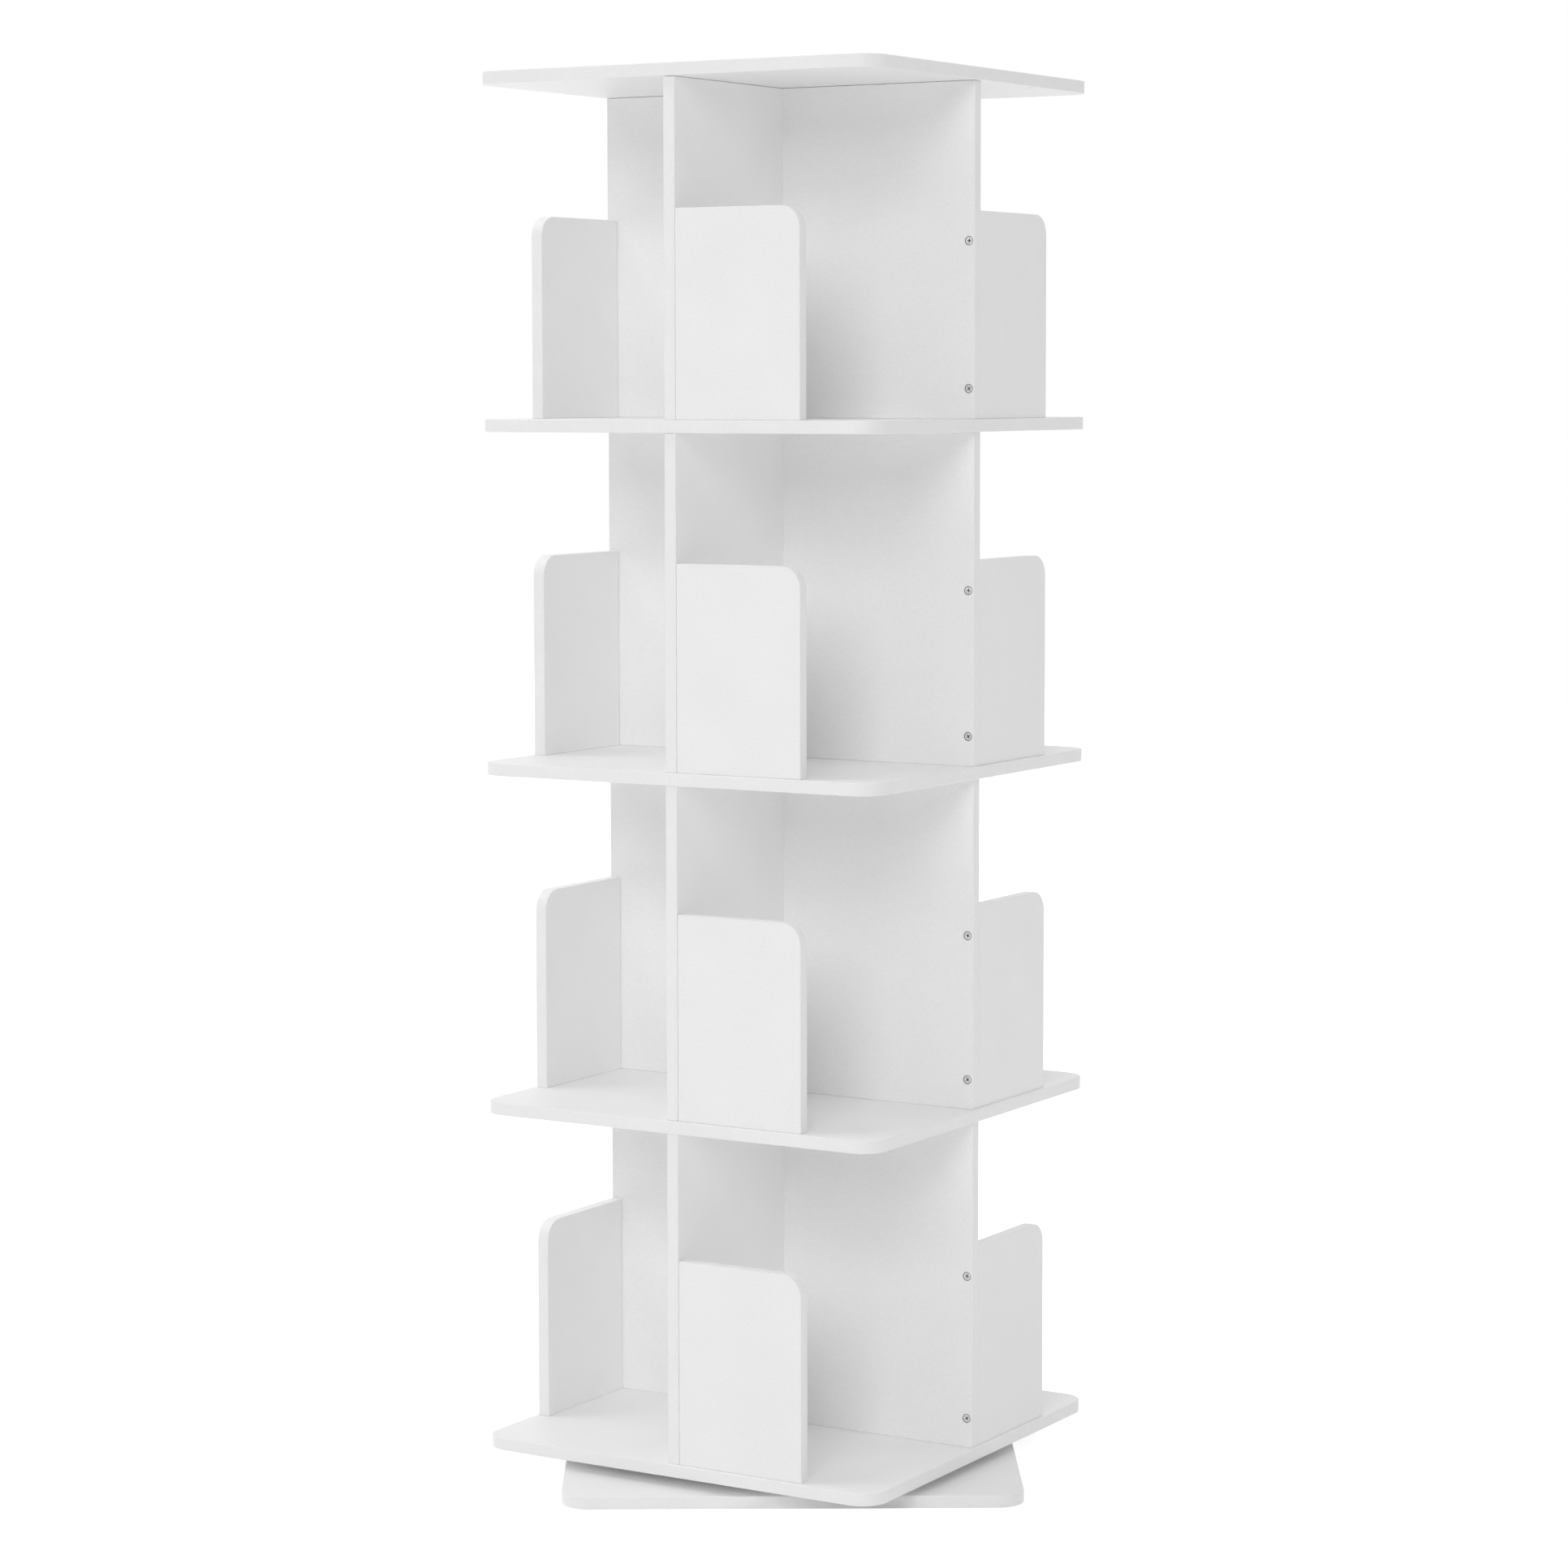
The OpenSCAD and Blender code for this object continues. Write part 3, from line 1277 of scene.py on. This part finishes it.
@dataclass
class HiddenWork:
    """Turntable and dowels, whose CAD solids already have their right shape."""

    nodes: Mapping[str, bpy.types.Object]
    tiers: int

    def dress(self) -> Iterator[bpy.types.Object]:
        """Gives each solid its finish.

        Returns:
            The dressed solids.
        """
        steel = TURNED_STEEL.make()
        finishes = {
            "turntable_fixed_ring": steel,
            "turntable_turning_ring": steel,
            "turntable_balls": BEARING_STEEL.make(),
            "turntable_cage": NYLON.make(),
        }
        beech = BEECH.make()
        finishes |= {f"tier{t}_dowels": beech for t in range(1, self.tiers + 1)}
        for node, material in finishes.items():
            piece = self.nodes[node]
            piece.data.materials.clear()
            piece.data.materials.append(material)
            yield piece


@dataclass(frozen=True)
class Softbox:
    """One square soft lamp, aimed at the middle of the bookcase."""

    name: str
    place: tuple[float, float, float]
    watts: float
    aim: tuple[float, float, float] = (0.0, 0.0, 650.0)
    size: float = 4200.0

    def hang(self) -> bpy.types.Object:
        """Makes the lamp and hangs it in the scene.

        Returns:
            The lamp object.
        """
        data = bpy.data.lights.new(self.name, "AREA")
        data.shape = "SQUARE"
        data.size = self.size * MM
        data.energy = self.watts
        lamp = bpy.data.objects.new(self.name, data)
        lamp.location = Vector(self.place) * MM
        way = (Vector(self.aim) - Vector(self.place)).to_track_quat("-Z", "Y")
        lamp.rotation_euler = way.to_euler()
        bpy.context.scene.collection.objects.link(lamp)
        return lamp


@dataclass
class Studio:
    """White floor, soft surround and the lamps of the photograph."""

    floor_half: float = 9000.0
    floor_colour: str = "#FAFAFA"
    floor_white: float = 0.56
    surround_colour: str = "#FFFFFF"
    surround: float = 0.41
    surround_lean: tuple[float, float, float] = (-0.13, 0.29, 0.40)
    bounces: int = 14
    lamps: tuple[Softbox, ...] = (
        Softbox("high_left_softbox", place=(-4330.0, -2500.0, 9310.0), watts=179.0),
        Softbox("camera_softbox", place=(3100.0, -8520.0, 4880.0), watts=259.0),
    )

    def build(self) -> None:
        """Lays the floor, lights the surround and hangs the lamps."""
        scene = bpy.context.scene
        scene.view_settings.view_transform = "Standard"
        # White boards pass light on many times before it leaves a tier
        scene.cycles.max_bounces = self.bounces
        scene.cycles.diffuse_bounces = self.bounces
        self._surround()
        self._floor()
        for lamp in self.lamps:
            lamp.hang()

    def _seen(self, tree: bpy.types.NodeTree) -> bpy.types.NodeSocket:
        """Tells the eye's rays from those that carry light.

        Args:
            tree: Node tree that takes the nodes.

        Returns:
            A socket that is one for the eye, mirrors and glass, else zero.
        """
        ray = add_node(tree, "ShaderNodeLightPath")
        eye = add_node(
            tree,
            "ShaderNodeMath",
            {"operation": "MAXIMUM"},
            {0: ray.outputs["Is Camera Ray"], 1: ray.outputs["Is Glossy Ray"]},
        )
        return add_node(
            tree,
            "ShaderNodeMath",
            {"operation": "MAXIMUM"},
            {0: eye.outputs[0], 1: ray.outputs["Is Transmission Ray"]},
        ).outputs[0]

    def _surround(self) -> None:
        """Surround that is white to the eye, and as a light leans to one side."""
        world = bpy.data.worlds.new("studio_surround")
        world.use_nodes = True
        bpy.context.scene.world = world
        tree = world.node_tree
        lean = add_node(
            tree,
            "ShaderNodeVectorMath",
            {"operation": "DOT_PRODUCT", 1: self.surround_lean},
            {0: add_node(tree, "ShaderNodeTexCoord").outputs["Generated"]},
        )
        light = add_node(
            tree,
            "ShaderNodeMath",
            {"operation": "ADD", 1: self.surround},
            {0: lean.outputs["Value"]},
        )
        strength = add_node(
            tree,
            "ShaderNodeMapRange",
            {"To Max": 1.0},
            {"Value": self._seen(tree), "To Min": light.outputs[0]},
        )
        backdrop = tree.nodes["Background"]
        backdrop.inputs["Color"].default_value = srgb(self.surround_colour)
        tree.links.new(strength.outputs["Result"], backdrop.inputs["Strength"])

    def _floor(self) -> None:
        """Pale floor, lifted to white where the eye sees it out of shadow."""
        bm = bmesh.new()
        bmesh.ops.create_grid(bm, x_segments=1, y_segments=1, size=self.floor_half)
        bm.transform(TO_METRES)
        mesh = bpy.data.meshes.new("studio_floor")
        bm.to_mesh(mesh)
        bm.free()
        floor = bpy.data.objects.new("studio_floor", mesh)
        bpy.context.scene.collection.objects.link(floor)
        material = bpy.data.materials.new("painted_studio_floor")
        material.use_nodes = True
        tree = material.node_tree
        tree.nodes.remove(tree.nodes["Principled BSDF"])
        paint = add_node(
            tree, "ShaderNodeBsdfDiffuse", {"Color": srgb(self.floor_colour)}
        )
        lift = add_node(
            tree,
            "ShaderNodeMath",
            {"operation": "MULTIPLY", 1: self.floor_white},
            {0: self._seen(tree)},
        )
        glow = add_node(
            tree, "ShaderNodeEmission", links={"Strength": lift.outputs[0]}
        )
        both = add_node(
            tree,
            "ShaderNodeAddShader",
            links={0: paint.outputs[0], 1: glow.outputs[0]},
        )
        tree.links.new(
            both.outputs[0], tree.nodes["Material Output"].inputs["Surface"]
        )
        mesh.materials.append(material)


@dataclass
class PhotoCamera:
    """Camera of the photograph, fitted to the edges of the boards."""

    place: tuple[float, float, float] = (2031.7, -3399.0, 1037.4)
    azimuth: float = 30.943
    down: float = 4.602
    roll: float = -0.0875
    focal_px: float = 5094.2
    centre_y_px: float = 880.0
    sensor_mm: float = 36.0

    def build(self) -> bpy.types.Object:
        """Makes the camera and gives it to the scene.

        Returns:
            The camera object.
        """
        data = bpy.data.cameras.new("photo_camera")
        data.sensor_width = self.sensor_mm
        data.lens = self.focal_px / PHOTO_PX * self.sensor_mm
        data.shift_y = (self.centre_y_px - PHOTO_PX / 2) / PHOTO_PX
        camera = bpy.data.objects.new("photo_camera", data)
        turn = Matrix.Rotation(math.radians(self.azimuth), 4, "Z")
        tilt = Matrix.Rotation(QUARTER_TURN - math.radians(self.down), 4, "X")
        roll = Matrix.Rotation(math.radians(self.roll), 4, "Z")
        camera.matrix_world = (
            Matrix.Translation(Vector(self.place) * MM) @ turn @ tilt @ roll
        )
        bpy.context.scene.collection.objects.link(camera)
        bpy.context.scene.camera = camera
        return camera


def clear_start_scene() -> None:
    """Removes whatever objects Blender starts with."""
    for thing in list(bpy.data.objects):
        bpy.data.objects.remove(thing)


def main() -> None:
    """Builds the sub-assemblies in order and reports each piece."""
    logging.basicConfig(level=logging.INFO, format="%(name)s: %(message)s")
    clear_start_scene()
    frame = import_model()
    PhotoCamera().build()
    plan = Plan()
    board_skins = [LAMINATE.make(), EDGE_BAND.make(), CHIPBOARD_AND_SHADE.make()]
    screw_skins = [ZINC.make(), RECESS_SHADE.make()]
    for assembly in (
        Boards(plan, board_skins),
        Panels(plan, board_skins),
        BookEnds(plan, board_skins),
        Screws(plan, screw_skins),
    ):
        for piece in assembly.build():
            LOG.info("%s has %d faces", piece.name, len(piece.data.polygons))
    for piece in HiddenWork(frame["nodes"], plan.tiers).dress():
        LOG.info("%s keeps its CAD solid", piece.name)
    Studio().build()


if __name__ == "__main__":
    main()
